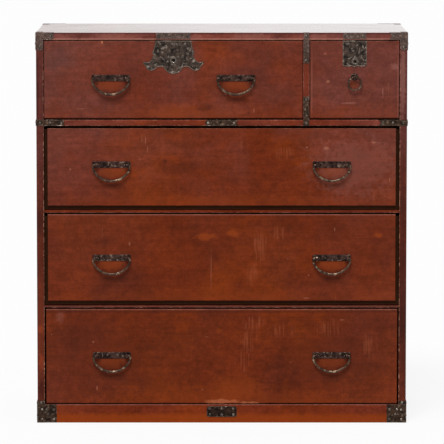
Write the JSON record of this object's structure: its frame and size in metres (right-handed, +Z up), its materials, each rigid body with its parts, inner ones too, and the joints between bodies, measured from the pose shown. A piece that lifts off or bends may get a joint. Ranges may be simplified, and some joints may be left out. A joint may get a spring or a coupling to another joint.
{
  "type": "isho clothing chest",
  "caption": "Japanese clothing chest of lacquered wood with iron corners, lock plates, drop bails and a ring pull; its drawers slide, its bails and ring swing and its lock bolts rise.",
  "frame": {"origin": "on the floor, under the middle of the chest and the handles that stand out of its front", "axes": "+Z up, +X to the right seen from the front, the front faces -Y"},
  "size_m": [0.9162, 0.4416, 0.965],
  "materials": {
    "case_lacquer": "worn satin lacquer, reddish brown",
    "front_lacquer": "worn satin lacquer, reddish brown",
    "drawer_wood": "bare planed paulownia",
    "plain_wood": "bare planed cedar, darkened",
    "plate_iron": "blackened wrought sheet, satin",
    "handle_iron": "blackened forged, rubbed bright on edges",
    "nail_iron": "blackened forged",
    "lock_iron": "dull forged"
  },
  "bodies": {
    "case": {"left_side": "case_lacquer", "right_side": "case_lacquer", "top_board": "case_lacquer", "bottom_board": "plain_wood", "back_boards": "plain_wood", "upper_rail": "case_lacquer", "middle_rail": "case_lacquer", "lower_rail": "case_lacquer", "plinth_rail": "case_lacquer", "upper_shelf": "plain_wood", "middle_shelf": "plain_wood", "lower_shelf": "plain_wood", "divider": "case_lacquer", "top_left_corner_iron": "plate_iron", "top_right_corner_iron": "plate_iron", "bottom_left_corner_iron": "plate_iron", "bottom_right_corner_iron": "plate_iron", "rear_corner_irons": "plate_iron", "rail_end_straps": "plate_iron", "rail_centre_plate": "plate_iron", "divider_straps": "plate_iron", "plinth_centre_plate": "plate_iron", "large_strike_plate": "plate_iron", "small_strike_plate": "plate_iron", "case_nails": "nail_iron"},
    "top_drawer": {"top_drawer_front": "front_lacquer", "top_drawer_box": "drawer_wood", "top_drawer_bottom": "drawer_wood", "top_drawer_handle_mounts": "plate_iron", "large_lock_plate": "plate_iron", "large_lock_case": "lock_iron"},
    "top_drawer_left_pull": {"top_drawer_left_bail": "handle_iron"},
    "top_drawer_right_pull": {"top_drawer_right_bail": "handle_iron"},
    "small_drawer": {"small_drawer_front": "front_lacquer", "small_drawer_box": "drawer_wood", "small_drawer_bottom": "drawer_wood", "small_drawer_ring_mount": "plate_iron", "small_lock_plate": "plate_iron", "small_lock_case": "lock_iron"},
    "upper_drawer": {"upper_drawer_front": "front_lacquer", "upper_drawer_box": "drawer_wood", "upper_drawer_bottom": "drawer_wood", "upper_drawer_handle_mounts": "plate_iron"},
    "upper_drawer_left_pull": {"upper_drawer_left_bail": "handle_iron"},
    "upper_drawer_right_pull": {"upper_drawer_right_bail": "handle_iron"},
    "lower_drawer": {"lower_drawer_front": "front_lacquer", "lower_drawer_box": "drawer_wood", "lower_drawer_bottom": "drawer_wood", "lower_drawer_handle_mounts": "plate_iron"},
    "lower_drawer_left_pull": {"lower_drawer_left_bail": "handle_iron"},
    "lower_drawer_right_pull": {"lower_drawer_right_bail": "handle_iron"},
    "bottom_drawer": {"bottom_drawer_front": "front_lacquer", "bottom_drawer_box": "drawer_wood", "bottom_drawer_bottom": "drawer_wood", "bottom_drawer_handle_mounts": "plate_iron"},
    "bottom_drawer_left_pull": {"bottom_drawer_left_bail": "handle_iron"},
    "bottom_drawer_right_pull": {"bottom_drawer_right_bail": "handle_iron"},
    "small_drawer_pull": {"small_drawer_ring": "handle_iron"},
    "large_bolt_slider": {"large_lock_bolt": "lock_iron"},
    "small_bolt_slider": {"small_lock_bolt": "lock_iron"}
  },
  "joints": [
    {"name": "top_drawer_slide", "type": "slide", "parent": "case", "child": "top_drawer", "axis": [0, -1, 0], "range_m": [0, 0.35]},
    {"name": "top_drawer_left_bail_hinge", "type": "hinge", "parent": "top_drawer", "child": "top_drawer_left_pull", "pos_m": [-0.272, -0.21575, 0.8535], "axis": [-1, 0, 0], "range_deg": [0, 165]},
    {"name": "top_drawer_right_bail_hinge", "type": "hinge", "parent": "top_drawer", "child": "top_drawer_right_pull", "pos_m": [0.035, -0.21575, 0.8535], "axis": [-1, 0, 0], "range_deg": [0, 165]},
    {"name": "small_drawer_slide", "type": "slide", "parent": "case", "child": "small_drawer", "axis": [0, -1, 0], "range_m": [0, 0.35]},
    {"name": "upper_drawer_slide", "type": "slide", "parent": "case", "child": "upper_drawer", "axis": [0, -1, 0], "range_m": [0, 0.35]},
    {"name": "upper_drawer_left_bail_hinge", "type": "hinge", "parent": "upper_drawer", "child": "upper_drawer_left_pull", "pos_m": [-0.271, -0.21475, 0.6405], "axis": [-1, 0, 0], "range_deg": [0, 165]},
    {"name": "upper_drawer_right_bail_hinge", "type": "hinge", "parent": "upper_drawer", "child": "upper_drawer_right_pull", "pos_m": [0.271, -0.21475, 0.6405], "axis": [-1, 0, 0], "range_deg": [0, 165]},
    {"name": "lower_drawer_slide", "type": "slide", "parent": "case", "child": "lower_drawer", "axis": [0, -1, 0], "range_m": [0, 0.35]},
    {"name": "lower_drawer_left_bail_hinge", "type": "hinge", "parent": "lower_drawer", "child": "lower_drawer_left_pull", "pos_m": [-0.271, -0.21475, 0.41], "axis": [-1, 0, 0], "range_deg": [0, 165]},
    {"name": "lower_drawer_right_bail_hinge", "type": "hinge", "parent": "lower_drawer", "child": "lower_drawer_right_pull", "pos_m": [0.271, -0.21475, 0.41], "axis": [-1, 0, 0], "range_deg": [0, 165]},
    {"name": "bottom_drawer_slide", "type": "slide", "parent": "case", "child": "bottom_drawer", "axis": [0, -1, 0], "range_m": [0, 0.35]},
    {"name": "bottom_drawer_left_bail_hinge", "type": "hinge", "parent": "bottom_drawer", "child": "bottom_drawer_left_pull", "pos_m": [-0.271, -0.21575, 0.168], "axis": [-1, 0, 0], "range_deg": [0, 165]},
    {"name": "bottom_drawer_right_bail_hinge", "type": "hinge", "parent": "bottom_drawer", "child": "bottom_drawer_right_pull", "pos_m": [0.271, -0.21575, 0.168], "axis": [-1, 0, 0], "range_deg": [0, 165]},
    {"name": "small_drawer_ring_hinge", "type": "hinge", "parent": "small_drawer", "child": "small_drawer_pull", "pos_m": [0.326, -0.21575, 0.8565], "axis": [-1, 0, 0], "range_deg": [0, 120]},
    {"name": "large_lock_bolt_slide", "type": "slide", "parent": "top_drawer", "child": "large_bolt_slider", "axis": [0, 0, 1], "range_m": [0, 0.008]},
    {"name": "small_lock_bolt_slide", "type": "slide", "parent": "small_drawer", "child": "small_bolt_slider", "axis": [0, 0, 1], "range_m": [0, 0.008]}
  ]
}
